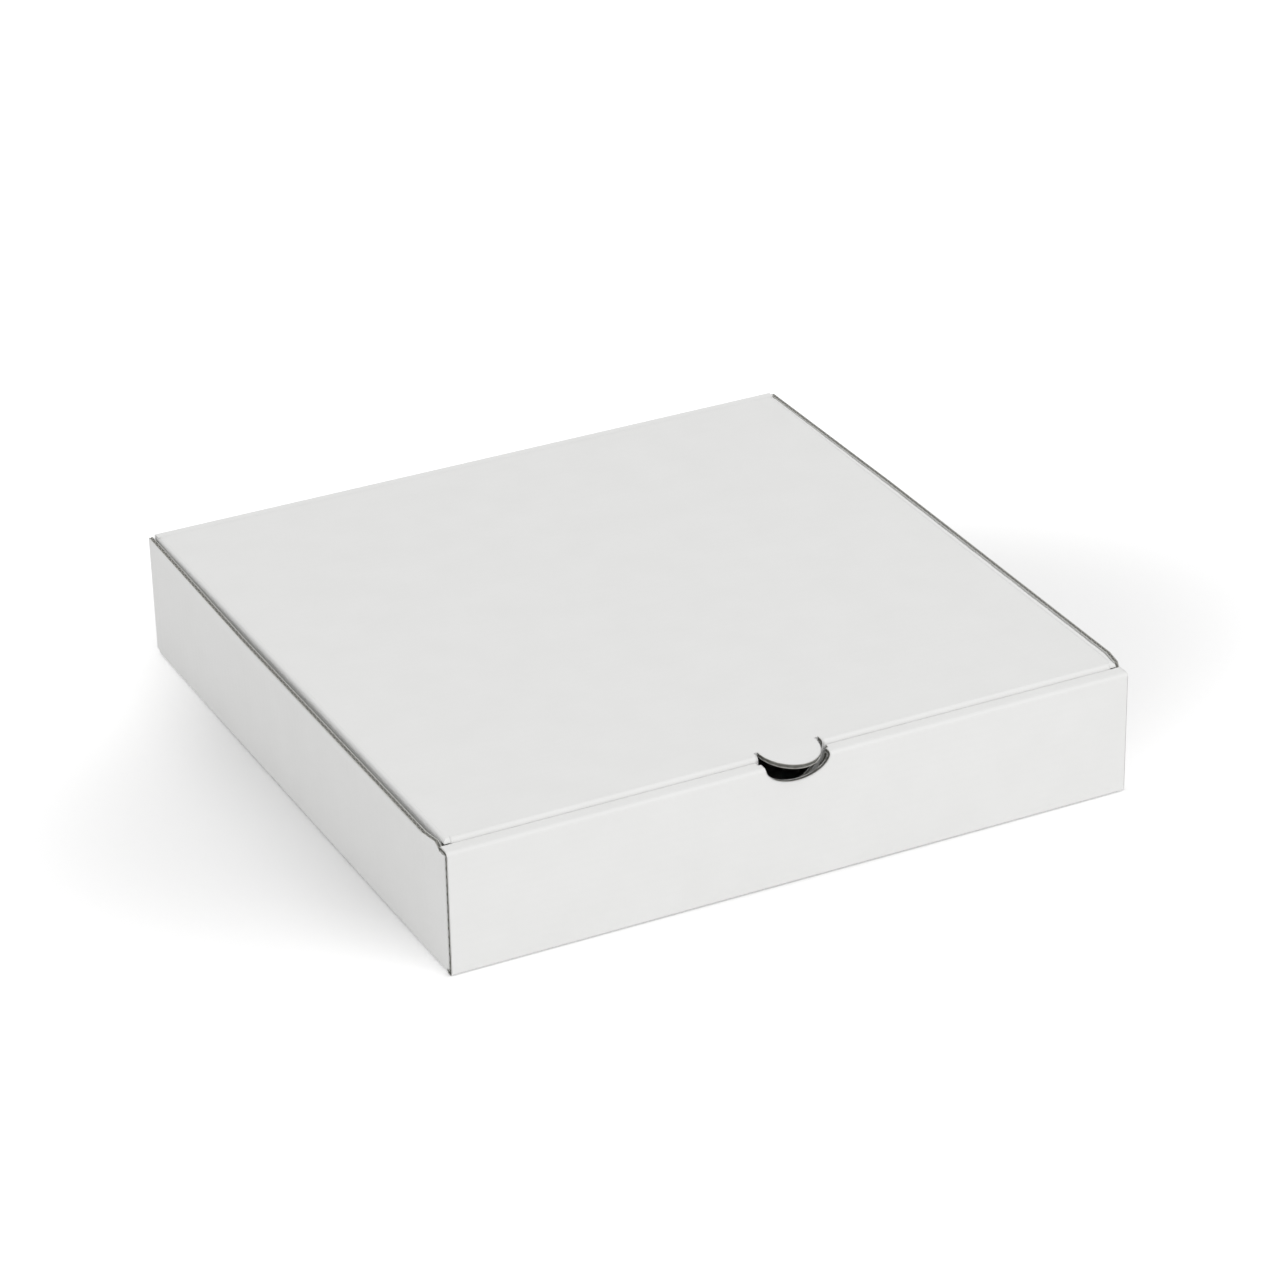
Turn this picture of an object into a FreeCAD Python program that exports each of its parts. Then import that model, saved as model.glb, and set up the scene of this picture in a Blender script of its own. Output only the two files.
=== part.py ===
"""A folded corrugated pizza box: a one-piece tray with a roll-over front, and its tuck-in lid.

Millimetres, +Z up. The origin is the centre of the base's underside and the front faces -Y.
Every panel is cut from one board, so each section below is one board bent at its creases.
"""
import FreeCAD, Part
import math
import os

os.makedirs("parts", exist_ok=True)
Vector = FreeCAD.Vector

# Board
BOARD = 1.6
CREASE_ROUND = 1.3
LAYER_GAP = 0.25

# Tray
WIDTH = 260.0
DEPTH = 260.0
FRONT_HEIGHT = 47.0
SIDE_RISE = 0.6
SIDE_LEAN = 1.75
BACK_LEAN = 0.4
CORNER_RUN = 10.0
BACK_RUN = 90.0
FRONT_END_GAP = 0.4
FRONT_TAB_LENGTH = 34.0
BACK_TAB_LENGTH = 24.0
CORNER_TAB_ROUND = 9.0
BACK_TAB_HEAD = 40.0
BACK_TAB_TIP = 16.0
CORNER_SHOULDER = 2.5

# Locking tabs of the rolled-over front, which stand in slots of the base
LOCK_SPACING = 128.0
LOCK_WIDTH = 34.0
LOCK_TAPER = 3.0
LOCK_SINK = 0.2
SLOT_CLEARANCE = 0.25

# Thumb notch in the front wall
NOTCH_WIDTH = 25.0
NOTCH_DEPTH = 7.6
INNER_NOTCH_WIDTH = 27.0
INNER_NOTCH_DEPTH = 12.0

# Lid
LID_RISE = 1.8
LID_CLEARANCE = 0.3
HINGE_CLEARANCE = 0.2
TUCK_LENGTH = 34.0
TUCK_LEAN = 4.5
TUCK_ROUND = 14.0
DUST_LENGTH = 32.0
DUST_ROUND = 14.0
DUST_END_GAP = 2.5
FOLD_RELIEF = 0.6

# Thumb tongue, cut out of the tuck flap and left in the plane of the lid
TONGUE_WIDTH = 21.5
TONGUE_REACH = 5.4
TONGUE_HOLE_WIDTH = 25.0
TONGUE_HOLE_DEPTH = 15.0

# Places that follow from those sizes
HALF_WIDTH = WIDTH / 2
HALF_DEPTH = DEPTH / 2
SIDE_HEIGHT = FRONT_HEIGHT + SIDE_RISE
LAYER = BOARD + LAYER_GAP
STRIP_DEPTH = 3 * BOARD + 2 * LAYER_GAP
INNER_FRONT_Y = STRIP_DEPTH - HALF_DEPTH
PANEL_HALF = HALF_WIDTH - LAYER
TAB_OUTER_Y = HALF_DEPTH - LAYER
PANEL_FOOT = BOARD + LAYER_GAP
TAB_FOOT = BOARD + LAYER_GAP
TAB_TOP = FRONT_HEIGHT - BOARD - LAYER_GAP
TAB_BACK_Y = 2 * BOARD - TAB_OUTER_Y

LID_TOP = FRONT_HEIGHT + LID_RISE
LID_UNDER = LID_TOP - BOARD
HINGE_Y = HALF_DEPTH - BOARD / 2
HINGE_Z = LID_TOP - BOARD / 2
LID_BACK = HINGE_Y - BOARD / 2 - HINGE_CLEARANCE
LID_FRONT = INNER_FRONT_Y + LID_CLEARANCE
LID_HALF = HALF_WIDTH - BOARD - LID_CLEARANCE
TONGUE_ROOT = LID_FRONT + 2 * BOARD
DUST_FRONT = LID_FRONT + BOARD + FOLD_RELIEF
DUST_BACK = HALF_DEPTH - BOARD - DUST_END_GAP
TUCK_HALF = LID_HALF - BOARD - FOLD_RELIEF


def along_x(u, v):
    """Section drawn in Y and Z, for a board that runs along X."""
    return Vector(0, u, v)


def along_y(u, v):
    """Section drawn in X and Z, for a board that runs along Y."""
    return Vector(u, 0, v)


def along_z(u, v):
    """Section drawn in X and Y, for a board that stands along Z."""
    return Vector(u, v, 0)


def turned(direction, angle):
    """A flat direction turned to the left by an angle in radians."""
    u, v = direction
    return (u * math.cos(angle) - v * math.sin(angle), u * math.sin(angle) + v * math.cos(angle))


def stepped(point, direction, length):
    """A flat point moved along a direction."""
    return (point[0] + direction[0] * length, point[1] + direction[1] * length)


def folded_section(draw, start, heading, moves, round_end=False):
    """A board's section as a face: runs between corners, each followed by the turn to the left in degrees.

    The path follows the board's outer face, which is rounded at each crease, and the board lies on its left,
    where the crease is pressed to a sharp corner.
    """
    point = start
    direction = turned((1, 0), math.radians(heading))
    left = turned(direction, math.pi / 2)
    outer_from = draw(*point)
    inner_from = draw(*stepped(point, left, BOARD))
    foot = Part.LineSegment(inner_from, outer_from).toShape()
    edges = []
    for run, turn in moves:
        half = math.radians(turn) / 2
        setback = CREASE_ROUND * math.tan(half)
        corner = stepped(point, direction, run)
        after = turned(direction, 2 * half)
        inward = turned(left, half)
        inner_to = draw(*stepped(corner, inward, BOARD / math.cos(half)))
        outer_to = draw(*stepped(corner, direction, -setback))
        edges.append(Part.LineSegment(outer_from, outer_to).toShape())
        edges.append(Part.LineSegment(inner_from, inner_to).toShape())
        inner_from = inner_to
        outer_from = outer_to
        if turn:
            bulge = CREASE_ROUND / math.cos(half) - CREASE_ROUND
            middle = draw(*stepped(corner, inward, bulge))
            outer_from = draw(*stepped(corner, after, setback))
            edges.append(Part.Arc(outer_to, middle, outer_from).toShape())
        point = corner
        direction = after
        left = turned(direction, math.pi / 2)
    if round_end:
        crown = stepped(stepped(point, left, BOARD / 2), direction, BOARD / 2)
        cap = Part.Arc(outer_from, draw(*crown), inner_from).toShape()
    else:
        cap = Part.LineSegment(outer_from, inner_from).toShape()
    return Part.Face(Part.Wire(Part.__sortEdges__(edges + [cap, foot])))


def block(low, high):
    """A plain box between two corners."""
    return Part.makeBox(*[b - a for a, b in zip(low, high)], Vector(*low))


def prism(draw, corners, direction):
    """A straight-sided solid from flat corners."""
    points = [draw(*corner) for corner in corners]
    return Part.Face(Part.makePolygon(points + points[:1])).extrude(direction)


def half_ellipse(draw, centre, half_width, depth, direction):
    """Half an ellipse that hangs from a straight edge, as a solid."""
    middle = draw(*centre)
    side = draw(centre[0] + half_width, centre[1])
    tip = draw(centre[0], centre[1] - depth)
    if half_width > depth:
        curve = Part.Arc(Part.Ellipse(side, tip, middle), 0, math.pi)
    else:
        curve = Part.Arc(Part.Ellipse(tip, side, middle), -math.pi / 2, math.pi / 2)
    edge = curve.toShape()
    chord = Part.LineSegment(edge.lastVertex().Point, edge.firstVertex().Point).toShape()
    return Part.Face(Part.Wire([edge, chord])).extrude(direction)


def corner_waste(draw, corner, towards, radius, direction):
    """What is cut away to round one corner; towards points from the corner into the panel."""
    (u, v), (side_u, side_v) = corner, towards
    outer_u = u - BOARD * side_u
    outer_v = v - BOARD * side_v
    centre_u = u + radius * side_u
    centre_v = v + radius * side_v
    corners = [(outer_u, outer_v), (centre_u, outer_v), (centre_u, centre_v), (outer_u, centre_v)]
    square = prism(draw, corners, direction)
    return square.cut(Part.makeCylinder(radius, direction.Length, draw(centre_u, centre_v), direction))


def one_solid(pieces):
    """Joins the panels of one sheet."""
    joined = pieces[0].fuse(pieces[1:]).removeSplitter()
    return joined.Solids[0] if len(joined.Solids) == 1 else joined


def mirrored_ends(shape):
    """A shape and its mirror image across the box's middle, left to right."""
    return [shape, shape.mirror(Vector(0, 0, 0), Vector(1, 0, 0))]


def crossing(lean, y):
    """Section through the left wall, base and right wall at one y; lean is how far the tops stand out."""
    angle = math.degrees(math.atan(lean / SIDE_HEIGHT))
    slant = math.hypot(lean, SIDE_HEIGHT)
    moves = [(slant, 90 - angle), (WIDTH, 90 - angle), (slant, 0)]
    section = folded_section(along_y, (-HALF_WIDTH - lean, SIDE_HEIGHT), angle - 90, moves)
    section.translate(Vector(0, y, 0))
    return section


def side_walls():
    """The side walls with the base: they lean out between the front, whose ends hold them, and the back."""
    front = CREASE_ROUND - TAB_OUTER_Y
    stations = [(0, TAB_BACK_Y), (SIDE_LEAN, TAB_BACK_Y + CORNER_RUN), (SIDE_LEAN, HALF_DEPTH - BACK_RUN),
                (BACK_LEAN, HALF_DEPTH)]
    leaning = Part.makeLoft([crossing(*station).OuterWire for station in stations], True, True)
    inside = HALF_WIDTH - 3 * BOARD
    leaning = leaning.cut(block((-inside, -DEPTH, -BOARD), (inside, DEPTH, 2 * BOARD)))
    base = block((-inside, TAB_BACK_Y, 0), (inside, TAB_OUTER_Y, BOARD))
    base_end = block((-WIDTH, TAB_OUTER_Y, -BOARD), (WIDTH, DEPTH, BOARD + LAYER_GAP))
    return [crossing(0, front).extrude(Vector(0, TAB_BACK_Y - front, 0)), leaning.cut(base_end), base]


def rolled_front():
    """Inner panel, strip, outer panel, base and back wall as one section, and the wider outer front."""
    lengthways = [(FRONT_HEIGHT - PANEL_FOOT, 90), (STRIP_DEPTH, 90), (FRONT_HEIGHT, 90), (DEPTH, 90),
                  (HINGE_Z, 0)]
    rolled = folded_section(along_x, (INNER_FRONT_Y, PANEL_FOOT), 90, lengthways, round_end=True)
    rolled.translate(Vector(-PANEL_HALF, 0, 0))
    half = HALF_WIDTH - FRONT_END_GAP
    foot = HALF_DEPTH - TAB_OUTER_Y + CREASE_ROUND
    outer = folded_section(along_x, (INNER_FRONT_Y, FRONT_HEIGHT), 180,
                           [(STRIP_DEPTH, 90), (FRONT_HEIGHT, 90), (foot, 0)])
    outer.translate(Vector(-half, 0, 0))
    return [rolled.extrude(Vector(2 * PANEL_HALF, 0, 0)), outer.extrude(Vector(2 * half, 0, 0))]


def corner_tab(start, heading, length):
    """A corner tab that turns off its wall to lie flat against the next one."""
    overlap = 2 * BOARD
    section = folded_section(along_z, start, heading, [(overlap, 90), (length, 0)])
    section.translate(Vector(0, 0, TAB_FOOT))
    return section.extrude(Vector(0, 0, TAB_TOP - TAB_FOOT))


def front_tab():
    """The tab at the left wall's front end, between the layers of the rolled-over front."""
    tab = corner_tab((-HALF_WIDTH, TAB_BACK_Y), -90, FRONT_TAB_LENGTH)
    tip = -HALF_WIDTH + FRONT_TAB_LENGTH
    for edge, towards in ((TAB_FOOT, 1), (TAB_TOP, -1)):
        waste = corner_waste(along_y, (tip, edge), (-1, towards), CORNER_TAB_ROUND, Vector(0, 6 * BOARD, 0))
        waste.translate(Vector(0, -HALF_DEPTH, 0))
        tab = tab.cut(waste)
    return tab


def slope_height(y):
    """Height of the back tab's sloping top edge, which the dust flap's sloping end stands clear of."""
    share = (y - HALF_DEPTH + BACK_TAB_LENGTH) / (BACK_TAB_LENGTH - LAYER)
    return BACK_TAB_TIP + (BACK_TAB_HEAD - BACK_TAB_TIP) * share


def back_tab():
    """The tab at the back wall's left end, inside the left wall, with its top edge cut to a slope."""
    tab = corner_tab((-PANEL_HALF + 2 * BOARD, HALF_DEPTH), 180, BACK_TAB_LENGTH)
    tip = HALF_DEPTH - BACK_TAB_LENGTH
    beyond = tip - BOARD
    corners = [(TAB_OUTER_Y, slope_height(TAB_OUTER_Y)), (beyond, slope_height(beyond)),
               (beyond, SIDE_HEIGHT), (TAB_OUTER_Y, SIDE_HEIGHT)]
    slope = prism(along_x, corners, Vector(6 * BOARD, 0, 0))
    foot = corner_waste(along_x, (tip, TAB_FOOT), (1, 1), CORNER_TAB_ROUND, Vector(6 * BOARD, 0, 0))
    for waste in (slope, foot):
        waste.translate(Vector(-HALF_WIDTH, 0, 0))
        tab = tab.cut(waste)
    return tab


def shoulder_waste():
    """Above the left wall's front end, where its top edge drops to the front tab under the strip."""
    beyond = -TAB_OUTER_Y - BOARD
    under_strip = INNER_FRONT_Y + LAYER_GAP
    shoulder = under_strip + CORNER_SHOULDER
    over = SIDE_HEIGHT + BOARD
    corners = [(shoulder, over), (shoulder, SIDE_HEIGHT), (under_strip, TAB_TOP), (beyond, TAB_TOP),
               (beyond, over)]
    waste = prism(along_x, corners, Vector(3 * BOARD, 0, 0))
    waste.translate(Vector(-HALF_WIDTH - BOARD, 0, 0))
    return waste


def locking_tab():
    """A tab under the inner front panel that stands in the base's slot."""
    middle = LOCK_SPACING / 2
    half = LOCK_WIDTH / 2
    corners = [(middle - half, PANEL_FOOT), (middle - half + LOCK_TAPER, LOCK_SINK),
               (middle + half - LOCK_TAPER, LOCK_SINK), (middle + half, PANEL_FOOT)]
    tab = prism(along_y, corners, Vector(0, BOARD, 0))
    tab.translate(Vector(0, INNER_FRONT_Y - BOARD, 0))
    return tab


def base_slot():
    """The slot that the locking tab stands in."""
    reach = LOCK_WIDTH / 2 + SLOT_CLEARANCE
    low = (LOCK_SPACING / 2 - reach, INNER_FRONT_Y - BOARD - SLOT_CLEARANCE, -BOARD)
    high = (LOCK_SPACING / 2 + reach, INNER_FRONT_Y + SLOT_CLEARANCE, PANEL_FOOT - LAYER_GAP / 2)
    return block(low, high)


def hollow_notch(half_width, depth, y_from, y_to):
    """The rounded notch through one layer of the front."""
    reach = Vector(0, y_to - y_from, 0)
    notch = half_ellipse(along_y, (0, FRONT_HEIGHT), half_width, depth, reach)
    notch = notch.fuse(block((-half_width, 0, FRONT_HEIGHT), (half_width, reach.y, FRONT_HEIGHT + BOARD)))
    notch.translate(Vector(0, y_from, 0))
    return notch


def thumb_notch():
    """The notch through the outer panel and its strip, and the larger one in the inner panel."""
    between = INNER_FRONT_Y - BOARD - LAYER_GAP
    outer = hollow_notch(NOTCH_WIDTH / 2, NOTCH_DEPTH, -HALF_DEPTH - BOARD, between)
    inner = hollow_notch(INNER_NOTCH_WIDTH / 2, INNER_NOTCH_DEPTH, between, INNER_FRONT_Y + BOARD)
    return outer.fuse(inner)


def make_tray():
    """Base, walls, corner tabs and the double front with its notch: one folded sheet."""
    tabs = [front_tab().cut(shoulder_waste()), back_tab()]
    sides = one_solid(side_walls())
    for waste in mirrored_ends(shoulder_waste()):
        sides = sides.cut(waste)
    sheet = one_solid([sides] + rolled_front() + [half for tab in tabs for half in mirrored_ends(tab)])
    for slot in mirrored_ends(base_slot()):
        sheet = sheet.cut(slot)
    return one_solid([sheet.cut(thumb_notch())] + mirrored_ends(locking_tab()))


def lid_panel():
    """The lid's flat panel, rounded where it folds down in front and at both sides."""
    panel = block((-LID_HALF, LID_FRONT, LID_UNDER), (LID_HALF, LID_BACK, LID_TOP))
    folds = [edge for edge in panel.Edges if edge.BoundBox.ZMin > LID_UNDER + BOARD / 2
             and edge.BoundBox.YMin < LID_BACK - BOARD]
    return panel.makeFillet(CREASE_ROUND, folds)


def tuck_flap():
    """The tuck flap under the front fold, leaning back into the box."""
    root = 3 * BOARD
    moves = [(root, 90 + TUCK_LEAN), (TUCK_LENGTH, 0)]
    section = folded_section(along_x, (LID_FRONT + root, LID_TOP), 180, moves)
    section.translate(Vector(-TUCK_HALF, 0, 0))
    flap = section.extrude(Vector(2 * TUCK_HALF, 0, 0))
    foot = flap.BoundBox.ZMin
    reach = Vector(0, TUCK_LENGTH, 0)
    for waste in mirrored_ends(corner_waste(along_y, (-TUCK_HALF, foot), (1, 1), TUCK_ROUND, reach)):
        waste.translate(Vector(0, LID_FRONT - BOARD, 0))
        flap = flap.cut(waste)
    return flap


def tongue_hole():
    """What the tongue leaves open in the fold and the tuck flap."""
    reach = Vector(0, TONGUE_ROOT - LID_FRONT + BOARD, 0)
    hole = half_ellipse(along_y, (0, LID_TOP), TONGUE_HOLE_WIDTH / 2, TONGUE_HOLE_DEPTH, reach)
    hole.translate(Vector(0, LID_FRONT - BOARD, 0))
    return hole


def thumb_tongue():
    """The rounded tongue that the lid holds out over the notch."""
    length = TONGUE_ROOT + HALF_DEPTH + TONGUE_REACH
    tongue = half_ellipse(along_z, (0, TONGUE_ROOT), TONGUE_WIDTH / 2, length, Vector(0, 0, BOARD))
    tongue.translate(Vector(0, 0, LID_UNDER))
    return tongue


def dust_flap():
    """The right dust flap: its front corner is rounded and its end slopes, clear of the back tab."""
    foot = LID_TOP - DUST_LENGTH
    section = folded_section(along_y, (LID_HALF, foot), 90, [(DUST_LENGTH, 90), (3 * BOARD, 0)])
    section.translate(Vector(0, DUST_FRONT, 0))
    flap = section.extrude(Vector(0, DUST_BACK - DUST_FRONT, 0))
    slope = math.atan2(BACK_TAB_HEAD - BACK_TAB_TIP, BACK_TAB_LENGTH - LAYER)
    rise = DUST_END_GAP / math.cos(slope)
    beyond = DUST_BACK + BOARD
    low_y = DUST_BACK - (slope_height(DUST_BACK) + rise - foot + BOARD) / math.tan(slope)
    corners = [(beyond, slope_height(beyond) + rise), (low_y, foot - BOARD), (beyond, foot - BOARD)]
    end = prism(along_x, corners, Vector(6 * BOARD, 0, 0))
    front = corner_waste(along_x, (DUST_FRONT, foot), (1, 1), DUST_ROUND, Vector(6 * BOARD, 0, 0))
    for waste in (end, front):
        waste.translate(Vector(LID_HALF - 3 * BOARD, 0, 0))
        flap = flap.cut(waste)
    return flap


def make_lid():
    """Lid panel, tuck flap, dust flaps and thumb tongue: one folded sheet."""
    sheet = one_solid([lid_panel(), tuck_flap()] + mirrored_ends(dust_flap()))
    return one_solid([sheet.cut(tongue_hole()), thumb_tongue()])


for name, make in (("tray", make_tray), ("lid", make_lid)):
    shape = make()
    box = shape.BoundBox
    print(name, "solids", len(shape.Solids), "valid", shape.isValid(), "volume", round(shape.Volume, 1))
    print("  box", [round(v, 3) for v in (box.XMin, box.XMax, box.YMin, box.YMax, box.ZMin, box.ZMax)])
    shape.exportStep("parts/" + name + ".step")
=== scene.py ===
"""The folded corrugated pizza box: board finish, fluted cut edges, creases, light and camera.

Metres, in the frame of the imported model: +Z up, the front wall faces -Y. Sizes below are in millimetres.
"""
import bmesh
import bpy
import math
from mathutils import Matrix, Vector


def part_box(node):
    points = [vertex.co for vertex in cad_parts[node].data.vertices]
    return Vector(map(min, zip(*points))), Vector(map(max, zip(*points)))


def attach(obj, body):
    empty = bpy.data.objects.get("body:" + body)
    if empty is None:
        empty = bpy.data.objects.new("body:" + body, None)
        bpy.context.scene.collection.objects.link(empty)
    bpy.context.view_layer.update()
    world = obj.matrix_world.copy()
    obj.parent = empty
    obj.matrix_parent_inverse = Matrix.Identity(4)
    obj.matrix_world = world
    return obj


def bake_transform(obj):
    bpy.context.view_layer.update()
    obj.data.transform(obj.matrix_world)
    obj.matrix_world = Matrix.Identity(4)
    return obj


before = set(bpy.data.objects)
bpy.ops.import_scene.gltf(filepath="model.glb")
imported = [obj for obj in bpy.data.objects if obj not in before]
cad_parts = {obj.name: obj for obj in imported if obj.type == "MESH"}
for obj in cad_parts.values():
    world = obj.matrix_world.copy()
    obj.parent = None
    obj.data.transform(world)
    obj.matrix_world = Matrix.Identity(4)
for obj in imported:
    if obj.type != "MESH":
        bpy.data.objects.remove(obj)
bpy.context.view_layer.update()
MM = 0.001

# Board
BOARD = 1.6
LAYER_GAP = 0.25
CREASE_ROUND = 1.3

# Tray
FRONT_HEIGHT = 47.0
SIDE_HEIGHT = 47.6
SIDE_LEAN = 1.75
BACK_LEAN = 0.4
CORNER_RUN = 10.0
BACK_RUN = 90.0
FRONT_END_GAP = 0.4
CORNER_SHOULDER = 2.5
BACK_TAB_LENGTH = 24.0
CORNER_TAB_ROUND = 9.0
BACK_TAB_HEAD = 40.0
BACK_TAB_TIP = 16.0
LOCK_SPACING = 128.0
LOCK_WIDTH = 34.0
LOCK_TAPER = 3.0
LOCK_SINK = 0.2
NOTCH_WIDTH = 25.0
NOTCH_DEPTH = 7.6
INNER_NOTCH_WIDTH = 27.0
INNER_NOTCH_DEPTH = 12.0

# Lid
LID_CLEARANCE = 0.3
TUCK_LENGTH = 34.0
TUCK_LEAN = 4.5
TUCK_ROUND = 14.0
DUST_LENGTH = 32.0
DUST_ROUND = 14.0
DUST_END_GAP = 2.5
FOLD_RELIEF = 0.6
TONGUE_WIDTH = 21.5
TONGUE_REACH = 5.4
TONGUE_HOLE_WIDTH = 25.0
TONGUE_HOLE_DEPTH = 15.0

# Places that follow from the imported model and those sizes
TRAY_HIGH = Vector(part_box("tray")[1]) / MM
LID_HIGH = Vector(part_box("lid")[1]) / MM
HALF_WIDTH = TRAY_HIGH.x - SIDE_LEAN
HALF_DEPTH = TRAY_HIGH.y
LAYER = BOARD + LAYER_GAP
PANEL_HALF = HALF_WIDTH - LAYER
FRONT_HALF = HALF_WIDTH - FRONT_END_GAP
TAB_OUTER_Y = HALF_DEPTH - LAYER
TAB_TOP = FRONT_HEIGHT - LAYER
TAB_BACK_Y = 2 * BOARD - TAB_OUTER_Y
INNER_FRONT_Y = 3 * BOARD + 2 * LAYER_GAP - HALF_DEPTH
LID_TOP = TRAY_HIGH.z
LID_UNDER = LID_TOP - BOARD
LID_HALF = LID_HIGH.x
LID_FRONT = INNER_FRONT_Y + LID_CLEARANCE
LID_BACK = LID_HIGH.y
HINGE_Y = HALF_DEPTH - BOARD / 2
HINGE_Z = LID_TOP - BOARD / 2
TONGUE_ROOT = LID_FRONT + 2 * BOARD
DUST_FRONT = LID_FRONT + BOARD + FOLD_RELIEF
DUST_BACK = HALF_DEPTH - BOARD - DUST_END_GAP
TUCK_HALF = LID_HALF - BOARD - FOLD_RELIEF

# Fluted edge: thicknesses of its papers, and how far they stand out of the solid board and reach into it
LINER = 0.26
MEDIUM = 0.16
FLUTE_PITCH = 3.3
FLUTE_STAND = 0.2
BACKING_STAND = 0.05
EDGE_SINK = 0.03
FLUTE_STEPS = 10
MEDIUM_STAND_SHARE = 0.9
MEDIUM_STEEP_SHARE = 0.8

# Hinge crease: the bead, and how far the two liners reach down the wall and along the lid
SKIN = 0.03
CREASE_END_GAP = 0.1
BEAD = 0.95
BEAD_WANDER = 0.015
BEAD_SIDES = 20
OUTER_LINER_STAND = 0.17
OUTER_LINER_WANDER = 0.02
OUTER_LINER_DROPS = (2.4, 1.2)
OUTER_LINER_REACHES = (0.0, 1.0, 2.0)
INNER_LINER_BEND = 0.3
INNER_LINER_STEPS = 14
INNER_LINER_WANDER = 0.01
INNER_LINER_DROPS = (2.0, 1.0)
INNER_LINER_REACHES = (1.2, 2.2)

# Lid folds: the side rolls are shares of the walls' lean, and fade out by share and depth below the lid's top
FOLD_BULGE = 0.22
FOLD_WANDER = 0.15
FOLD_BULGE_FOOT = 4.6
LEFT_ROLL = 0.1
RIGHT_ROLL = 1.0
ROLL_WANDER = 0.07
ROLL_DEPTH = 1.9
ROLL_FADE = ((0.55, 3.6), (0.15, 5.2))
ROLL_FOOT = 6.0

# Board surface: depths of its relief, its noises' scales per metre, and where the creased zones begin and end
FIBRE_DEPTH = 0.04
RIB_DEPTH = 0.012
RIB_WANDER = 1.2
TOOTH_DEPTH = 0.012
PAPER_DEPTH = 0.016
WRINKLE_DEPTH = 0.07
WANDER_SCALE = 9.0
RIB_SCALE = 14.0
MOTTLE_SCALE = 60.0
PAPER_SCALE = 420.0
WRINKLE_SCALE = 900.0
TOOTH_SCALE = 2600.0
CREASED_X = (126.2, 127.8)
CREASED_Y = (122.5, 124.0)
CREASED_TOP = (44.0, 46.2)
CREASED_FOOT = (3.0, 1.2)
RIB_TONE = 0.03
CREASE_TONE = 0.12

# Light, in metres; the floor's camera-seen glow rises between the two SHADOW_FADE shares of the shadow's
# elliptical reach, which paints the floor shadow's elliptical outline
WORLD_LEVEL = 0.755
KEY_DISTANCE = 3.0
KEY_SIZE = 2.0
KEY_FROM = Vector((0.16, -0.67, 0.72))
KEY_POWER = 25.2
FLOOR_SIZE = 30.0
FLOOR_DROP = 0.0002
FLOOR_LIFT_NEAR = 0.02
FLOOR_LIFT_FAR = 0.34
SHADOW_CENTRE = (0.014, -0.008)
SHADOW_REACH = (0.261, 0.1385)
SHADOW_FADE = (0.64, 1.28)

# Camera, solved from the box's corners in the photograph; it looks at a point right of and above the origin
FRAME_PIXELS = 1280
SENSOR = 36.0
FOCAL_PIXELS = 4780.0
CAMERA_AZIMUTH = -26.31
CAMERA_ELEVATION = 27.78
CAMERA_ROLL = -1.08
CAMERA_DISTANCE = 1727.8
CAMERA_RIGHT = 4.77
CAMERA_UP = 28.82


def material(name, base, roughness):
    """A new material with its nodes, and its main shader."""
    made = bpy.data.materials.new(name)
    made.use_nodes = True
    shader = made.node_tree.nodes["Principled BSDF"]
    shader.inputs["Base Color"].default_value = (*base, 1)
    shader.inputs["Roughness"].default_value = roughness
    return made, made.node_tree, shader


def node(tree, kind, **settings):
    """A new shader node with settings by name."""
    made = tree.nodes.new(kind)
    for key, value in settings.items():
        setattr(made, key, value)
    return made


def maths(tree, operation, *values, clamp=False):
    """A maths node on numbers or other nodes' outputs; returns its output."""
    made = node(tree, "ShaderNodeMath", operation=operation, use_clamp=clamp)
    for socket, value in zip(made.inputs, values):
        if isinstance(value, (int, float)):
            socket.default_value = value
        else:
            tree.links.new(value, socket)
    return made.outputs[0]


def noise(tree, place, scale, detail):
    """Noise at a place on the object."""
    made = node(tree, "ShaderNodeTexNoise", noise_dimensions="3D")
    made.inputs["Scale"].default_value = scale
    made.inputs["Detail"].default_value = detail
    tree.links.new(place, made.inputs["Vector"])
    return made.outputs["Fac"]


def ramped(tree, value, low, high, start=0.3, end=0.7):
    """A colour between two greys for a value between start and end."""
    ramp = node(tree, "ShaderNodeValToRGB")
    ramp.color_ramp.elements[0].position = start
    ramp.color_ramp.elements[0].color = (*low, 1)
    ramp.color_ramp.elements[1].position = end
    ramp.color_ramp.elements[1].color = (*high, 1)
    tree.links.new(value, ramp.inputs["Fac"])
    return ramp.outputs["Color"]


def beyond(tree, value, start, end):
    """0 up to start, rising to 1 at end; both are places in millimetres."""
    slope = 1.0 / ((end - start) * MM)
    return maths(tree, "MULTIPLY_ADD", value, slope, -start * MM * slope, clamp=True)


def relief(tree, place, scale, detail, depth):
    """Uneven relief up to a depth in millimetres; returns its height."""
    return maths(tree, "MULTIPLY", noise(tree, place, scale, detail), depth * MM)


def creased_zone(tree, split):
    """1 along the folds at the top and the foot of the walls, and 0 on the flat panels."""
    across_x = maths(tree, "ABSOLUTE", split.outputs["X"])
    across_y = maths(tree, "ABSOLUTE", split.outputs["Y"])
    height = split.outputs["Z"]
    border = maths(tree, "MAXIMUM", beyond(tree, across_x, *CREASED_X), beyond(tree, across_y, *CREASED_Y))
    top = maths(tree, "MULTIPLY", beyond(tree, height, *CREASED_TOP), border)
    foot = maths(tree, "MULTIPLY", beyond(tree, height, *CREASED_FOOT), border)
    return maths(tree, "MAXIMUM", top, foot)


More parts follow.
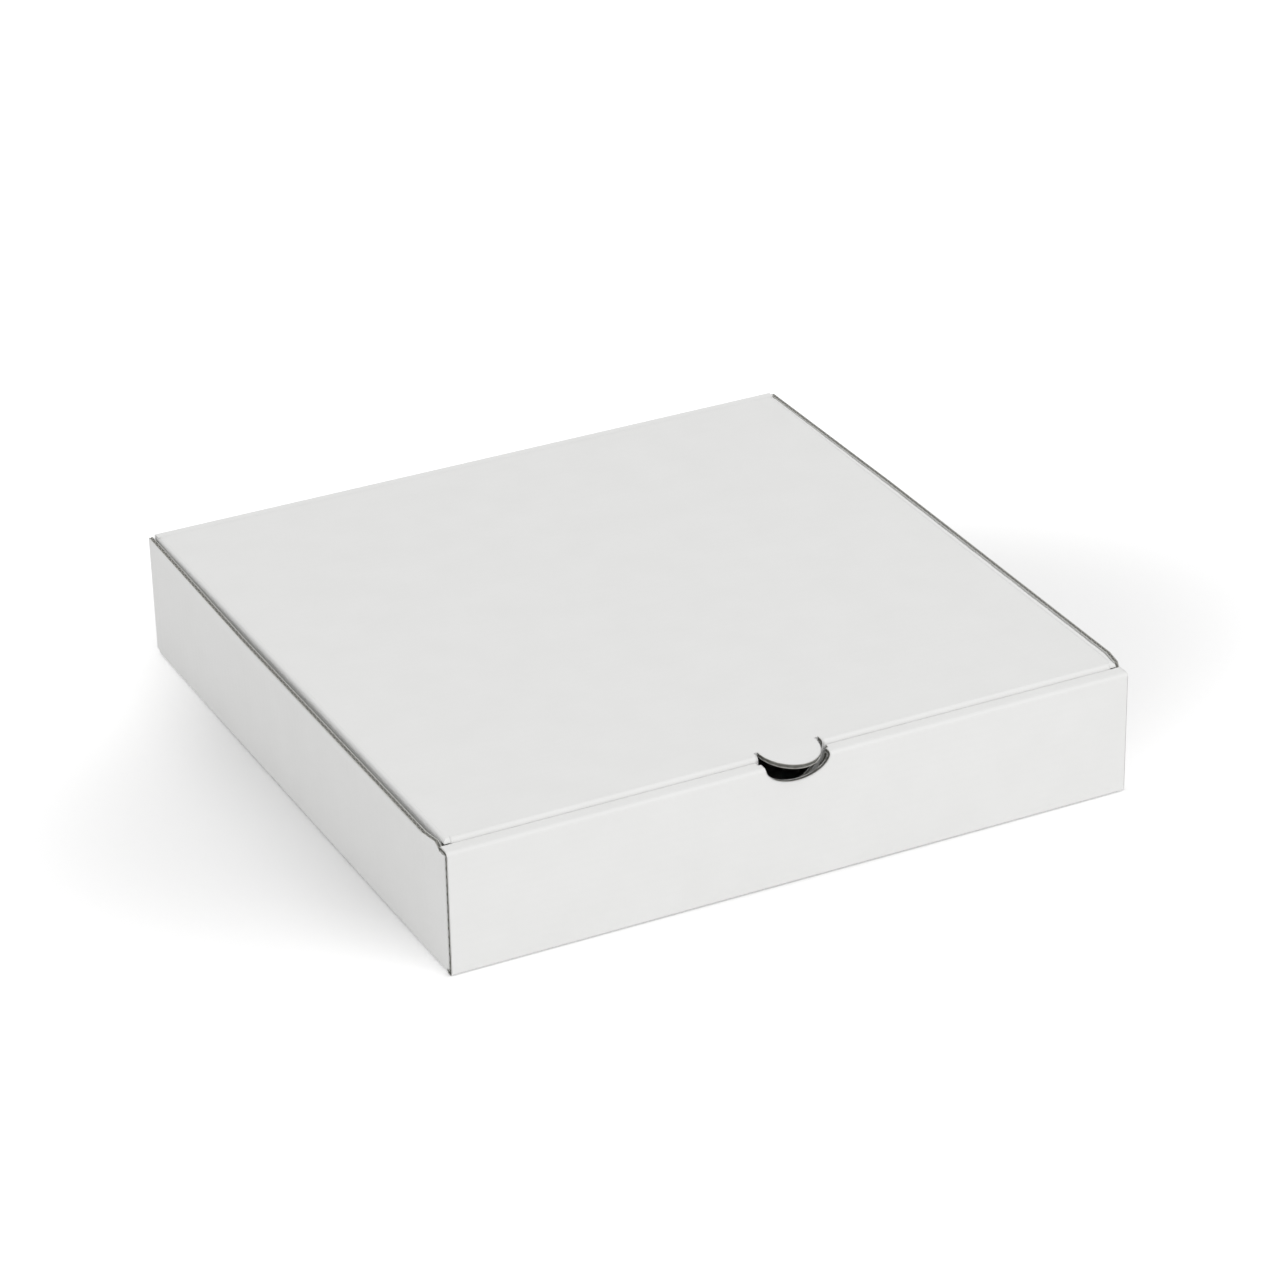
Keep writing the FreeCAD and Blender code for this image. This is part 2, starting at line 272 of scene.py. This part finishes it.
def flute_ribs(tree, place, split):
    """Waves between -1 and 1 where the flutes show through the liner."""
    normal = node(tree, "ShaderNodeSeparateXYZ")
    tree.links.new(node(tree, "ShaderNodeTexCoord").outputs["Normal"], normal.inputs[0])
    facing_front = maths(tree, "GREATER_THAN", maths(tree, "ABSOLUTE", normal.outputs["Y"]), 0.7)
    facing_side = maths(tree, "SUBTRACT", 1.0, facing_front)
    run = maths(tree, "ADD", maths(tree, "MULTIPLY", split.outputs["Z"], facing_front),
                maths(tree, "MULTIPLY", split.outputs["Y"], facing_side))
    wander = maths(tree, "MULTIPLY", noise(tree, place, WANDER_SCALE, 2.0), RIB_WANDER)
    return maths(tree, "SINE", maths(tree, "MULTIPLY_ADD", run, 2 * math.pi / (FLUTE_PITCH * MM), wander))


def white_board():
    """Coated white liner: faint flute ribs, paper mottle, a soft tooth and wrinkles along the creases."""
    made, tree, shader = material("white_board", (0.80, 0.80, 0.79), 0.55)
    place = node(tree, "ShaderNodeTexCoord").outputs["Object"]
    split = node(tree, "ShaderNodeSeparateXYZ")
    tree.links.new(place, split.inputs[0])
    ribs = flute_ribs(tree, place, split)
    folded = creased_zone(tree, split)
    rib_height = maths(tree, "MULTIPLY", ribs, relief(tree, place, RIB_SCALE, 3.0, RIB_DEPTH))
    tooth = maths(tree, "ADD", relief(tree, place, TOOTH_SCALE, 3.0, TOOTH_DEPTH),
                  relief(tree, place, PAPER_SCALE, 4.0, PAPER_DEPTH))
    wrinkles = maths(tree, "MULTIPLY", folded, relief(tree, place, WRINKLE_SCALE, 4.0, WRINKLE_DEPTH))
    bump = node(tree, "ShaderNodeBump")
    bump.inputs["Strength"].default_value = 1.0
    bump.inputs["Distance"].default_value = 1.0
    tree.links.new(maths(tree, "ADD", maths(tree, "ADD", rib_height, tooth), wrinkles), bump.inputs["Height"])
    tree.links.new(bump.outputs["Normal"], shader.inputs["Normal"])
    tone = maths(tree, "MULTIPLY_ADD", ribs, RIB_TONE, noise(tree, place, MOTTLE_SCALE, 5.0))
    worn = maths(tree, "MULTIPLY_ADD", folded, CREASE_TONE, tone)
    tree.links.new(ramped(tree, worn, (0.797, 0.797, 0.788), (0.817, 0.817, 0.809), 0.3, 0.8),
                   shader.inputs["Base Color"])
    shader.inputs["Specular IOR Level"].default_value = 0.35
    return made


def cut_paper(name, scale, low, high, roughness):
    """Cut or torn paper: fibres between two tones."""
    made, tree, shader = material(name, low, roughness)
    place = node(tree, "ShaderNodeTexCoord").outputs["Object"]
    tree.links.new(ramped(tree, noise(tree, place, scale, 3.0), low, high), shader.inputs["Base Color"])
    bump = node(tree, "ShaderNodeBump")
    bump.inputs["Distance"].default_value = FIBRE_DEPTH * MM
    tree.links.new(noise(tree, place, scale * 2, 3.0), bump.inputs["Height"])
    tree.links.new(bump.outputs["Normal"], shader.inputs["Normal"])
    return made


DARK, LINER_CUT, PAPER, WHITE = range(4)
CUT_TONES = (LINER_CUT, PAPER)
# Darker papers for the front ends, the notch rims and the tongue rim: painted shade for edges that sit in
# shade, not the board's own colour.
PAINTED_SHADE_TONES = (PAPER, DARK)
# The first material is painted shade: a dark grey for the shade inside open flutes, not a paper's own colour.
MATERIALS = [cut_paper("painted_flute_cell_shade", 500.0, (0.11, 0.11, 0.10), (0.18, 0.18, 0.165), 0.95),
             cut_paper("cut_liner", 900.0, (0.42, 0.42, 0.40), (0.56, 0.56, 0.53), 0.85),
             cut_paper("flute_paper", 1300.0, (0.29, 0.285, 0.26), (0.43, 0.42, 0.39), 0.9),
             white_board()]


def add_piece(name, body, verts, faces, slots, smooth=False):
    """A new piece from a mesh in millimetres; with no body it is left without a parent."""
    mesh = bpy.data.meshes.new(name)
    mesh.from_pydata([v * MM for v in verts], [], faces)
    for made in MATERIALS:
        mesh.materials.append(made)
    mesh.polygons.foreach_set("material_index", slots)
    mesh.polygons.foreach_set("use_smooth", [smooth] * len(faces))
    work = bmesh.new()
    work.from_mesh(mesh)
    bmesh.ops.recalc_face_normals(work, faces=work.faces)
    work.to_mesh(mesh)
    work.free()
    piece = bpy.data.objects.new(name, mesh)
    bpy.context.collection.objects.link(piece)
    if body:
        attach(piece, body)
    return piece


def finer(rows):
    """The same edge with rows added, so that the flutes' waves come out round."""
    made = [rows[0]]
    for a, b in zip(rows, rows[1:]):
        parts = max(1, math.ceil(abs(b[3] - a[3]) * FLUTE_STEPS / FLUTE_PITCH))
        for part in range(1, parts + 1):
            t = part / parts
            made.append([a[k].lerp(b[k], t) for k in range(3)] + [a[3] + (b[3] - a[3]) * t])
    return made


def lane(mesh_data, rows, low, high, stand, sink, face_slot, side_slot):
    """A bar along a cut edge, from low to high across the board's thickness."""
    verts, faces, slots = mesh_data
    first = len(verts)
    for outer, inner, out, run in rows:
        for share in (low(run), high(run)):
            place = outer.lerp(inner, share)
            verts += [place - out * sink, place + out * stand]
    for step in range(len(rows) - 1):
        a = first + 4 * step
        b = a + 4
        faces += [(a, b, b + 1, a + 1), (a + 1, b + 1, b + 3, a + 3), (a + 3, b + 3, b + 2, a + 2),
                  (a + 2, b + 2, b, a)]
        slots += [side_slot, face_slot, side_slot, side_slot]
    last = first + 4 * (len(rows) - 1)
    faces += [(first, first + 1, first + 3, first + 2), (last, last + 2, last + 3, last + 1)]
    slots += [side_slot, side_slot]


def cut_edge(name, body, rows, stand=FLUTE_STAND, sink=EDGE_SINK, tones=CUT_TONES):
    """A board's cut edge: a dark backing, which is painted shade for the open flute cells, two liners and the
    fluting between them.

    Each row has the outer face's point, the inner face's point, the way out of the cut and the place across
    the flutes. Flutes cut across show as waves, and flutes that run along the edge as one line. tones has the
    liners' and the fluting's materials.
    """
    mesh_data = ([], [], [])
    liner = LINER / BOARD
    swing = (1 - 2 * liner - MEDIUM / BOARD) / 2

    def wave(run, edge):
        angle = 2 * math.pi * run / FLUTE_PITCH
        half = MEDIUM / BOARD / 2 * (1 + MEDIUM_STEEP_SHARE * abs(math.cos(angle)))
        return 0.5 + swing * math.sin(angle) + edge * half

    # The backing's dark face is painted shade: it stands for the shade deep inside the open flutes.
    lane(mesh_data, rows, lambda run: 0, lambda run: 1, min(BACKING_STAND, stand / 2), sink, DARK, WHITE)
    lane(mesh_data, rows, lambda run: 0, lambda run: liner, stand, sink, tones[0], WHITE)
    lane(mesh_data, rows, lambda run: 1 - liner, lambda run: 1, stand, sink, tones[0], WHITE)
    lane(mesh_data, finer(rows), lambda run: wave(run, -1), lambda run: wave(run, 1),
         stand * MEDIUM_STAND_SHARE, sink, tones[1], tones[1])
    return add_piece(name, body, *mesh_data)


def outwards(points):
    """For each point of a flat path, the way to its right, mitred at corners."""
    normals = []
    for a, b in zip(points, points[1:]):
        run = Vector((b[0] - a[0], b[1] - a[1])).normalized()
        normals.append(Vector((run.y, -run.x)))
    before = normals[:1] + normals
    after = normals + normals[-1:]
    return [(a + b) / (1 + a.dot(b)) for a, b in zip(before, after)]


def arc(centre, width, height, start, end, steps):
    """Points on part of an ellipse; angles in degrees."""
    angles = [math.radians(start + (end - start) * step / steps) for step in range(steps + 1)]
    return [(centre[0] + width * math.cos(a), centre[1] + height * math.sin(a)) for a in angles]


def crease_arc(u, v, start, end):
    """The rounded outside of a crease, from the middle of its round."""
    return arc((u, v), CREASE_ROUND, CREASE_ROUND, start, end, 5)


def both_sides():
    """Left and right, as a sign and a word."""
    return ((-1, "left"), (1, "right"))


def wall_lean(y):
    """How far the side walls' tops stand out at one y."""
    from_front = SIDE_LEAN * (y - TAB_BACK_Y) / CORNER_RUN
    from_back = BACK_LEAN + (SIDE_LEAN - BACK_LEAN) * (HALF_DEPTH - y) / BACK_RUN
    return max(0.0, min(from_front, from_back, SIDE_LEAN))


def side_wall_edges():
    """The side walls' cut edges: up the back end, along the top, and down the shoulder at the strip."""
    under_strip = INNER_FRONT_Y + LAYER_GAP
    shoulder = under_strip + CORNER_SHOULDER
    corners = [(HALF_DEPTH, LAYER), (HALF_DEPTH, SIDE_HEIGHT), (HALF_DEPTH - BACK_RUN, SIDE_HEIGHT),
               (TAB_BACK_Y + CORNER_RUN, SIDE_HEIGHT), (shoulder, SIDE_HEIGHT), (under_strip, TAB_TOP)]
    for side, word in both_sides():
        rows = []
        for (y, z), out in zip(corners, outwards([(-y, z) for y, z in corners])):
            tilt = math.atan(wall_lean(y) / SIDE_HEIGHT)
            outer = Vector((side * (HALF_WIDTH + z * math.tan(tilt)), y, z))
            inner = outer + Vector((-side * math.cos(tilt), 0, math.sin(tilt))) * BOARD
            rows.append([outer, inner, Vector((0, out.x, -out.y)), y])
        cut_edge(word + "_wall_edge", "tray", rows)


def front_section():
    """The rolled front's outer line with the inner corner or line beside it, and the way along it.

    It runs from the base, up the outer panel and over the fold to the strip's inner end.
    """
    foot = [(a, (BOARD - HALF_DEPTH, BOARD)) for a in
            crease_arc(CREASE_ROUND - HALF_DEPTH, CREASE_ROUND, 270, 180)]
    head = [(a, (BOARD - HALF_DEPTH, FRONT_HEIGHT - BOARD)) for a in
            crease_arc(CREASE_ROUND - HALF_DEPTH, FRONT_HEIGHT - CREASE_ROUND, 180, 90)]
    start = [((CREASE_ROUND - TAB_OUTER_Y, 0), (CREASE_ROUND - TAB_OUTER_Y, BOARD))]
    end = [((INNER_FRONT_Y, FRONT_HEIGHT), (INNER_FRONT_Y, FRONT_HEIGHT - BOARD))]
    return with_run(start + foot + head + end)


def with_run(pairs):
    """Pairs of outer and inner points, each with its distance along the outer line."""
    made = [(*pairs[0], 0.0)]
    for outer, inner in pairs[1:]:
        made.append((outer, inner, made[-1][2] + math.dist(outer, made[-1][0])))
    return made


def front_end_edges():
    """The rolled front's cut ends at the two front corners."""
    for side, word in both_sides():
        x = side * FRONT_HALF
        rows = [[Vector((x, *outer)), Vector((x, *inner)), Vector((side, 0, 0)), run]
                for outer, inner, run in front_section()]
        # These ends take the darker papers, as painted shade.
        cut_edge("front_" + word + "_end", "tray", rows, tones=PAINTED_SHADE_TONES)


def hanging_x(z, top, half_width, depth):
    """Half the width, at one height, of a half ellipse that hangs from the top."""
    return half_width * math.sqrt(max(0.0, 1 - ((top - z) / depth) ** 2))


def folded_rim(top, half_width, depth, fold, panel):
    """Rows of a rounded cut-out's rim that starts on the folded-over top, goes over the fold and hangs below.

    fold has the fold's pairs of outer and inner points, from the top edge to where the panel begins. panel
    gives the outer and inner point of the hanging panel at one height.
    """
    left = []
    for outer, inner, run in with_run(fold):
        left.append([Vector((-hanging_x(outer[1], top, half_width, depth), *outer)),
                     Vector((-hanging_x(inner[1], top, half_width, depth), *inner)), Vector((1, 0, 0)), -run])
    begin = fold[-1][0][1]
    lowest = math.degrees(math.asin((top - begin) / depth))
    hang = []
    for x, z in arc((0, top), half_width, depth, 180 + lowest, 360 - lowest, 28)[1:-1]:
        slope = Vector((-x / half_width ** 2, (top - z) / depth ** 2)).normalized()
        outer, inner = panel(z)
        hang.append([Vector((x, *outer)), Vector((x, *inner)), Vector((slope.x, 0, slope.y)),
                     left[-1][3] - (begin - z)])
    right = [[Vector((-a.x, a.y, a.z)), Vector((-b.x, b.y, b.z)), Vector((-1, 0, 0)), run]
             for a, b, _, run in reversed(left)]
    return left + hang + right


def notch_edges():
    """The thumb notch's rims in the outer panel with its strip, and in the inner panel."""
    between = INNER_FRONT_Y - BOARD - LAYER_GAP
    low_z = FRONT_HEIGHT - BOARD
    over = crease_arc(CREASE_ROUND - HALF_DEPTH, FRONT_HEIGHT - CREASE_ROUND, 90, 180)
    fold = [((between, FRONT_HEIGHT), (between, low_z))] + [(a, (BOARD - HALF_DEPTH, low_z)) for a in over]
    rows = folded_rim(FRONT_HEIGHT, NOTCH_WIDTH / 2, NOTCH_DEPTH, fold,
                      lambda z: ((-HALF_DEPTH, z), (BOARD - HALF_DEPTH, z)))
    # This rim and the inner one below take the darker papers, as painted shade.
    cut_edge("notch_rim", "tray", rows, tones=PAINTED_SHADE_TONES)
    down = crease_arc(INNER_FRONT_Y - CREASE_ROUND, FRONT_HEIGHT - CREASE_ROUND, 90, 0)
    fold = [(a, (INNER_FRONT_Y - BOARD, low_z)) for a in down]
    rows = folded_rim(FRONT_HEIGHT, INNER_NOTCH_WIDTH / 2, INNER_NOTCH_DEPTH, fold,
                      lambda z: ((INNER_FRONT_Y, z), (INNER_FRONT_Y - BOARD, z)))
    cut_edge("inner_notch_rim", "tray", rows, tones=PAINTED_SHADE_TONES)


def locking_tab_edges():
    """The locking tabs' lower ends, in the base's slots."""
    reach = LOCK_WIDTH / 2 - LOCK_TAPER
    for side, word in both_sides():
        rows = [[Vector((side * LOCK_SPACING / 2 + step * reach, INNER_FRONT_Y, LOCK_SINK)),
                 Vector((side * LOCK_SPACING / 2 + step * reach, INNER_FRONT_Y - BOARD, LOCK_SINK)),
                 Vector((0, 0, -1)), 0.0] for step in (-1, 1)]
        cut_edge(word + "_locking_tab_end", "tray", rows, stand=LOCK_SINK / 2)


def slope_height(y):
    """Height of the back corner tab's sloping top edge at one y."""
    share = (y - HALF_DEPTH + BACK_TAB_LENGTH) / (BACK_TAB_LENGTH - LAYER)
    return BACK_TAB_TIP + (BACK_TAB_HEAD - BACK_TAB_TIP) * share


def back_tab_edges():
    """The back corner tabs' sloping top edges and free ends, inside the side walls."""
    free = HALF_DEPTH - BACK_TAB_LENGTH
    head = HALF_DEPTH - 2 * BOARD
    corners = [(head, slope_height(head)), (free, slope_height(free))]
    corners += arc((free + CORNER_TAB_ROUND, LAYER + CORNER_TAB_ROUND), CORNER_TAB_ROUND, CORNER_TAB_ROUND,
                   180, 250, 6)
    for side, word in both_sides():
        rows = [[Vector((side * PANEL_HALF, y, z)), Vector((side * (PANEL_HALF - BOARD), y, z)),
                 Vector((0, -out.x, -out.y)), z] for (y, z), out in zip(corners, outwards(corners))]
        cut_edge(word + "_back_tab_edge", "tray", rows)


def dust_flap_edges():
    """The dust flaps' cut edges: a rounded front corner and an end that slopes over the back tab."""
    foot = LID_TOP - DUST_LENGTH
    high = LID_UNDER - BOARD / 4
    slope = math.atan2(BACK_TAB_HEAD - BACK_TAB_TIP, BACK_TAB_LENGTH - LAYER)
    end_z = slope_height(DUST_BACK) + DUST_END_GAP / math.cos(slope)
    corners = [(DUST_FRONT, high)]
    corners += arc((DUST_FRONT + DUST_ROUND, foot + DUST_ROUND), DUST_ROUND, DUST_ROUND, 180, 270, 10)
    corners += [(DUST_BACK - (end_z - foot) / math.tan(slope), foot), (DUST_BACK, end_z), (DUST_BACK, high)]
    for side, word in both_sides():
        x = side * LID_HALF
        rows = [[Vector((x, y, z)), Vector((x - side * BOARD, y, z)), Vector((0, out.x, out.y)), y]
                for (y, z), out in zip(corners, outwards(corners))]
        cut_edge(word + "_dust_flap_edge", "lid", rows)


def tuck_points(z):
    """The leaning tuck flap's outer and inner point at one height."""
    tilt = math.radians(TUCK_LEAN)
    y = LID_FRONT + (LID_TOP - z) * math.tan(tilt)
    return (y, z), (y + BOARD * math.cos(tilt), z + BOARD * math.sin(tilt))


def tuck_flap_edge():
    """The tuck flap's cut edge, down one side, along its foot and up the other."""
    tilt = math.radians(TUCK_LEAN)
    foot = LID_TOP - TUCK_LENGTH * math.cos(tilt)
    high = LID_UNDER - BOARD / 4
    middle = TUCK_HALF - TUCK_ROUND
    corners = [(-TUCK_HALF, high)]
    corners += arc((-middle, foot + TUCK_ROUND), TUCK_ROUND, TUCK_ROUND, 180, 270, 10)
    corners += arc((middle, foot + TUCK_ROUND), TUCK_ROUND, TUCK_ROUND, 270, 360, 10)
    corners += [(TUCK_HALF, high)]
    rows = []
    for (x, z), out in zip(corners, outwards(corners)):
        outer, inner = tuck_points(z)
        up = Vector((0, -math.sin(tilt), math.cos(tilt)))
        rows.append([Vector((x, *outer)), Vector((x, *inner)), Vector((out.x, 0, 0)) + up * out.y, z])
    cut_edge("tuck_flap_edge", "lid", rows)


def tongue_edges():
    """The thumb tongue's rim, and the rim of the hole that it leaves in the fold and the tuck flap."""
    length = TONGUE_ROOT + HALF_DEPTH + TONGUE_REACH
    outline = arc((0, TONGUE_ROOT), TONGUE_WIDTH / 2, length, 180, 360, 36)
    rows = [[Vector((x, y, LID_TOP)), Vector((x, y, LID_UNDER)), Vector((out.x, out.y, 0)), y]
            for (x, y), out in zip(outline, outwards(outline))]
    # The tongue's rim takes the darker papers, as painted shade.
    cut_edge("tongue_rim", "lid", rows, tones=PAINTED_SHADE_TONES)
    corner = (LID_FRONT + BOARD, LID_UNDER)
    over = crease_arc(LID_FRONT + CREASE_ROUND, LID_TOP - CREASE_ROUND, 90, 180)
    fold = [((TONGUE_ROOT, LID_TOP), (TONGUE_ROOT, LID_UNDER))] + [(a, corner) for a in over]
    rows = folded_rim(LID_TOP, TONGUE_HOLE_WIDTH / 2, TONGUE_HOLE_DEPTH, fold, tuck_points)
    cut_edge("tongue_hole_rim", "lid", rows)


def unevenness(x, seed):
    """A small wander between -1 and 1 along a crease."""
    long_wave = 0.5 * math.sin(0.9 * x + seed)
    middle_wave = 0.3 * math.sin(2.3 * x + 2.1 * seed)
    short_wave = 0.2 * math.sin(5.3 * x + seed)
    return long_wave + middle_wave + short_wave


def swept(name, body, section, start, end, step=0.8, closed=False, along_y=False):
    """A smooth strip along X or Y; section gives its points across the strip, as the other way and Z."""
    count = math.ceil((end - start) / step)
    verts = []
    for k in range(count + 1):
        along = start + (end - start) * k / count
        line = section(along)
        verts += [Vector((u, along, z) if along_y else (along, u, z)) for u, z in line]
    wide = len(line)
    faces = []
    for k in range(count):
        for j in range(wide if closed else wide - 1):
            a = k * wide + j
            b = k * wide + (j + 1) % wide
            faces.append((a, b, b + wide, a + wide))
    if closed:
        faces += [tuple(range(wide)), tuple(range(count * wide, count * wide + wide))]
    return add_piece(name, body, verts, faces, [WHITE] * len(faces), smooth=True)


def hinge_crease():
    """The crease between back wall and lid: a rounded bead, and the two liners that bend over it."""
    half = PANEL_HALF - CREASE_END_GAP

    def bead(x):
        radius = BEAD + BEAD_WANDER * unevenness(x, 1.0)
        return arc((HINGE_Y, HINGE_Z), radius, radius, 0, 360 - 360 / BEAD_SIDES, BEAD_SIDES - 1)

    def outer_liner(x):
        radius = BOARD / 2 + OUTER_LINER_STAND + OUTER_LINER_WANDER * unevenness(x, 2.0)
        wall = [(HALF_DEPTH + SKIN, HINGE_Z - drop) for drop in OUTER_LINER_DROPS]
        over = arc((HINGE_Y, HINGE_Z), radius, radius, 0, 100, 12)
        lid = [(LID_BACK - reach, LID_TOP + SKIN) for reach in OUTER_LINER_REACHES]
        return wall + over + lid

    wall_y = HALF_DEPTH - BOARD - SKIN
    low = LID_UNDER - SKIN

    def inner_liner(x):
        wall = [(wall_y, low - drop) for drop in INNER_LINER_DROPS]
        corner_z = low + INNER_LINER_WANDER * unevenness(x, 3.0)
        corner = [(wall_y - INNER_LINER_BEND * k / INNER_LINER_STEPS, corner_z)
                  for k in range(INNER_LINER_STEPS + 1)]
        lid = [(LID_BACK - reach, low) for reach in INNER_LINER_REACHES]
        return wall + corner + lid

    swept("hinge_bead", "tray", bead, -half, half, closed=True)
    outer = swept("hinge_outer_liner", None, outer_liner, -half, half)
    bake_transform(outer)
    inner = swept("hinge_inner_liner", None, inner_liner, -half, half)
    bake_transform(inner)


def front_fold_bulge():
    """The lid's front fold, where the folded board stands a little proud of its flat faces."""
    tilt = math.radians(TUCK_LEAN)

    def section(x):
        bulge = FOLD_BULGE * (1 - FOLD_WANDER + FOLD_WANDER * unevenness(x, 4.0))
        radius = CREASE_ROUND + bulge / 2
        centre = (LID_FRONT + CREASE_ROUND - bulge / 2, LID_TOP - CREASE_ROUND)
        over = arc(centre, radius, CREASE_ROUND + SKIN / 2, 80, 180, 10)
        foot_z = LID_TOP - FOLD_BULGE_FOOT
        down = [(LID_FRONT + 0.6 * math.tan(tilt) - bulge * 0.8, LID_TOP - 2.6),
                (LID_FRONT + 4.0 * math.tan(tilt), foot_z), (LID_FRONT + BOARD / 2, foot_z)]
        return over + down + [(LID_FRONT + CREASE_ROUND, LID_TOP - BOARD)]

    inner = TONGUE_HOLE_WIDTH / 2 + CREASE_END_GAP
    outer = TUCK_HALF - CREASE_END_GAP
    swept("left_front_fold", "lid", section, -outer, -inner, closed=True)
    swept("right_front_fold", "lid", section, inner, outer, closed=True)


def side_fold_bulges():
    """The lid's side folds: the board rolls outwards at the crease, more so on the right."""
    front = DUST_FRONT + CREASE_END_GAP
    back = DUST_BACK - CREASE_END_GAP
    for side, word, share in ((-1, "left", LEFT_ROLL), (1, "right", RIGHT_ROLL)):

        def section(y):
            bulge = share * wall_lean(y) * (1 - ROLL_WANDER + ROLL_WANDER * unevenness(y / 3, 5.0))
            width = CREASE_ROUND + 0.1 + bulge
            centre = (LID_HALF + bulge - width, LID_TOP - ROLL_DEPTH)
            over = arc(centre, width, ROLL_DEPTH + SKIN / 2, 88, -12, 14)
            fade = [(LID_HALF + bulge * left, LID_TOP - depth) for left, depth in ROLL_FADE]
            foot = [(LID_HALF - BOARD / 4, LID_TOP - ROLL_FOOT), (LID_HALF - BOARD / 2, LID_TOP - BOARD)]
            return [(side * x, z) for x, z in over + fade + foot]

        swept(word + "_side_fold", "lid", section, front, back, closed=True, along_y=True)


def seen_rays(tree):
    """1 for what the camera, a gloss or a clear surface sees, and 0 for light on the object."""
    path = node(tree, "ShaderNodeLightPath")
    gloss = maths(tree, "ADD", path.outputs["Is Glossy Ray"], path.outputs["Is Transmission Ray"])
    return maths(tree, "ADD", path.outputs["Is Camera Ray"], gloss, clamp=True)


def floor():
    """A white floor: a glow that only the camera sees stays low inside an ellipse round the box and rises
    away from it, so the box's real shadow shows only in that painted elliptical pool.
    """
    bpy.ops.mesh.primitive_plane_add(size=FLOOR_SIZE, location=(0, 0, -FLOOR_DROP))
    ground = bpy.context.object
    ground.name = "floor"
    made, tree, shader = material("floor_white", (0.93, 0.93, 0.93), 0.9)
    shader.inputs["Specular IOR Level"].default_value = 0.0
    place = node(tree, "ShaderNodeMapping", vector_type="TEXTURE")
    place.inputs["Location"].default_value = (*SHADOW_CENTRE, 0)
    place.inputs["Scale"].default_value = (*SHADOW_REACH, 1)
    tree.links.new(node(tree, "ShaderNodeTexCoord").outputs["Object"], place.inputs["Vector"])
    reach = node(tree, "ShaderNodeVectorMath", operation="LENGTH")
    tree.links.new(place.outputs[0], reach.inputs[0])
    fade = node(tree, "ShaderNodeMapRange", interpolation_type="SMOOTHSTEP")
    tree.links.new(reach.outputs["Value"], fade.inputs["Value"])
    fade.inputs["From Min"].default_value = SHADOW_FADE[0]
    fade.inputs["From Max"].default_value = SHADOW_FADE[1]
    fade.inputs["To Min"].default_value = FLOOR_LIFT_NEAR
    fade.inputs["To Max"].default_value = FLOOR_LIFT_FAR
    # The glow's elliptical fade is painted shadow: it sets where the real shadow stays visible.
    lift = fade.outputs["Result"]
    glow = node(tree, "ShaderNodeEmission")
    tree.links.new(maths(tree, "MULTIPLY", seen_rays(tree), lift), glow.inputs["Strength"])
    both = node(tree, "ShaderNodeAddShader")
    tree.links.new(shader.outputs[0], both.inputs[0])
    tree.links.new(glow.outputs[0], both.inputs[1])
    tree.links.new(both.outputs[0], tree.nodes["Material Output"].inputs["Surface"])
    ground.data.materials.append(made)


def world_light():
    """An even sky, seen as white."""
    world = bpy.data.worlds.new("studio")
    bpy.context.scene.world = world
    world.use_nodes = True
    tree = world.node_tree
    sky = tree.nodes["Background"]
    sky.inputs["Color"].default_value = (1, 1, 1, 1)
    tree.links.new(maths(tree, "MULTIPLY_ADD", seen_rays(tree), 1.0 - WORLD_LEVEL, WORLD_LEVEL),
                   sky.inputs["Strength"])


def key_light():
    """One large soft lamp above and in front of the box."""
    data = bpy.data.lights.new("key", "AREA")
    data.shape = "SQUARE"
    data.size = KEY_SIZE
    data.energy = KEY_POWER
    lamp = bpy.data.objects.new("key", data)
    bpy.context.collection.objects.link(lamp)
    direction = KEY_FROM.normalized()
    lamp.location = direction * KEY_DISTANCE
    lamp.rotation_euler = direction.to_track_quat("Z", "Y").to_euler()


def camera():
    """The photograph's viewpoint."""
    azimuth, elevation, roll = [math.radians(a) for a in (CAMERA_AZIMUTH, CAMERA_ELEVATION, CAMERA_ROLL)]
    back = Vector((math.sin(azimuth) * math.cos(elevation), -math.cos(azimuth) * math.cos(elevation),
                   math.sin(elevation)))
    flat_right = Vector((math.cos(azimuth), math.sin(azimuth), 0))
    flat_up = back.cross(flat_right)
    right = flat_right * math.cos(roll) + flat_up * math.sin(roll)
    up = flat_up * math.cos(roll) - flat_right * math.sin(roll)
    place = (back * CAMERA_DISTANCE + right * CAMERA_RIGHT + up * CAMERA_UP) * MM
    data = bpy.data.cameras.new("camera")
    data.sensor_width = SENSOR
    data.lens = FOCAL_PIXELS * SENSOR / FRAME_PIXELS
    data.clip_end = 100.0
    made = bpy.data.objects.new("camera", data)
    bpy.context.collection.objects.link(made)
    turn = Matrix((right, up, back)).transposed().to_4x4()
    made.matrix_world = Matrix.Translation(place) @ turn
    bpy.context.scene.camera = made


def dress_board():
    """The white board on the two folded sheets."""
    for name in ("tray", "lid"):
        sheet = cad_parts[name]
        sheet.data.materials.clear()
        sheet.data.materials.append(MATERIALS[WHITE])


bpy.context.scene.view_settings.view_transform = "Standard"
camera()
dress_board()
side_wall_edges()
front_end_edges()
notch_edges()
locking_tab_edges()
back_tab_edges()
dust_flap_edges()
tuck_flap_edge()
tongue_edges()
hinge_crease()
front_fold_bulge()
side_fold_bulges()
floor()
world_light()
key_light()
